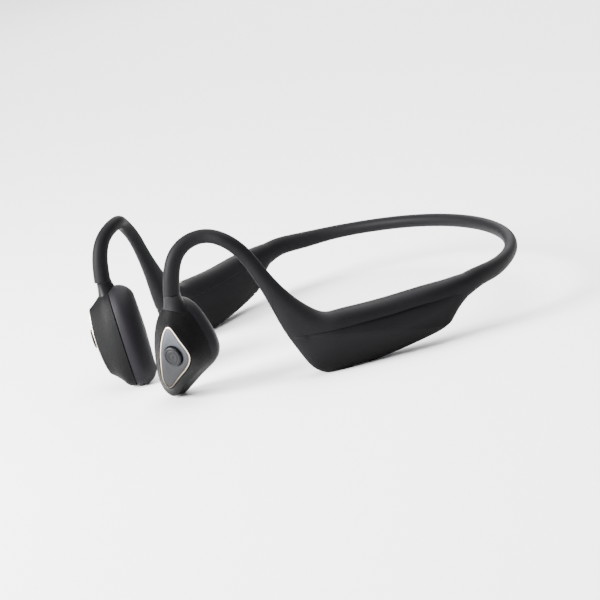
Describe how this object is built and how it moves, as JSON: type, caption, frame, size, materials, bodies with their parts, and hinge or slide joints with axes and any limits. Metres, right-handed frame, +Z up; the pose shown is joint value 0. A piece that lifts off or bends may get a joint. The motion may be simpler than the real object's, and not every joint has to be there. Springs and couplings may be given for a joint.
{
  "type": "bone conduction headphones",
  "caption": "Wireless bone conduction headset: a springy neckband, ear hooks, slim rear housings, and kite-shaped transducer pods with press buttons.",
  "frame": {"origin": "on the surface the headset stands on, under the middle of its overall box", "axes": "+Z up, +X the wearer's left, -Y the way the wearer faces"},
  "size_m": [0.1332, 0.1364, 0.0523],
  "materials": {
    "pod_plastic": "fine leather-grain satin black",
    "collar_plastic": "smooth satin black",
    "pad_silicone": "smooth satin grey silicone",
    "plate_metal": "satin slate metallic",
    "trim_gold": "champagne satin",
    "button_plastic": "satin slate",
    "switch_plastic": "moulded",
    "circuit_board": "solder mask",
    "yoke_steel": "plain",
    "magnet": "nickel plated",
    "coil_copper": "enamelled copper wire",
    "spring_steel": "rolled sheet",
    "inner_plastic": "glass-filled nylon",
    "screw_steel": "plain",
    "elastomer": "soft-touch matte charcoal elastomer",
    "titanium": "drawn wire",
    "lead_jacket": "insulation",
    "key_plastic": "satin black",
    "shield_can": "tinned steel",
    "battery_foil": "pouch foil",
    "light_pipe": "frosted cream"
  },
  "bodies": {
    "right_side": {"accent_plate_right": "plate_metal", "accent_trim_right": "trim_gold", "battery_cell": "battery_foil", "bracket_screws_right": "screw_steel", "button_board_right": "circuit_board", "button_switch_right": "switch_plastic", "charging_board": "circuit_board", "ear_hook_right": "elastomer", "ear_hook_wire_right": "titanium", "ear_pad_right": "pad_silicone", "hook_collar_right": "collar_plastic", "housing_inner_cover_right": "elastomer", "housing_outer_cover_right": "elastomer", "indicator_light": "light_pipe", "neckband_lead": "lead_jacket", "neckband_skin": "elastomer", "neckband_wire": "titanium", "pod_shell_right": "pod_plastic", "power_slide_switch": "switch_plastic", "transducer_bracket_right": "inner_plastic", "transducer_coil_right": "coil_copper", "transducer_lead_right": "lead_jacket", "transducer_magnet_right": "magnet", "transducer_spring_right": "spring_steel", "transducer_yoke_right": "yoke_steel", "usb_c_socket": "shield_can"},
    "left_side": {"accent_plate_left": "plate_metal", "accent_trim_left": "trim_gold", "bracket_screws_left": "screw_steel", "button_board_left": "circuit_board", "button_switch_left": "switch_plastic", "ear_hook_left": "elastomer", "ear_hook_wire_left": "titanium", "ear_pad_left": "pad_silicone", "hook_collar_left": "collar_plastic", "housing_inner_cover_left": "elastomer", "housing_outer_cover_left": "elastomer", "pod_shell_left": "pod_plastic", "transducer_bracket_left": "inner_plastic", "transducer_coil_left": "coil_copper", "transducer_lead_left": "lead_jacket", "transducer_magnet_left": "magnet", "transducer_spring_left": "spring_steel", "transducer_yoke_left": "yoke_steel", "volume_switches": "switch_plastic", "main_board": "circuit_board", "bluetooth_module": "shield_can", "microphone": "shield_can", "board_screws": "screw_steel"},
    "left_button": {"multi_button_left": "button_plastic"},
    "right_button": {"multi_button_right": "button_plastic"},
    "volume_up": {"volume_up_button": "key_plastic"},
    "volume_down": {"volume_down_button": "key_plastic"},
    "power_knob": {"power_switch_knob": "key_plastic"},
    "port_flap": {"port_cover": "elastomer"}
  },
  "joints": [
    {"name": "neckband_spread", "type": "hinge", "parent": "right_side", "child": "left_side", "pos_m": [0, 0.06607, 0.0179], "axis": [0, 0, 1], "range_deg": [-4, 30], "stiffness_Nm_per_rad": 0.5, "deforming": ["neckband_skin", "neckband_wire", "neckband_lead"]},
    {"name": "left_button_press", "type": "slide", "parent": "left_side", "child": "left_button", "axis": [-0.4402, 0.8946, 0.0767], "range_m": [0, 0.0004], "stiffness_N_per_m": 1500},
    {"name": "right_button_press", "type": "slide", "parent": "right_side", "child": "right_button", "axis": [0.4402, 0.8946, 0.0767], "range_m": [0, 0.0004], "stiffness_N_per_m": 1500},
    {"name": "volume_up_press", "type": "slide", "parent": "left_side", "child": "volume_up", "axis": [0, 0, 1], "range_m": [0, 0.0004], "stiffness_N_per_m": 1500},
    {"name": "volume_down_press", "type": "slide", "parent": "left_side", "child": "volume_down", "axis": [0, 0, 1], "range_m": [0, 0.0004], "stiffness_N_per_m": 1500},
    {"name": "power_switch_slide", "type": "slide", "parent": "right_side", "child": "power_knob", "axis": [-0.3944, 0.9189, 0], "range_m": [0, 0.002]},
    {"name": "port_cover_hinge", "type": "hinge", "parent": "right_side", "child": "port_flap", "pos_m": [-0.05918, 0.01022, 0.0036], "axis": [0.9376, 0.3478, 0], "range_deg": [0, 110]}
  ]
}
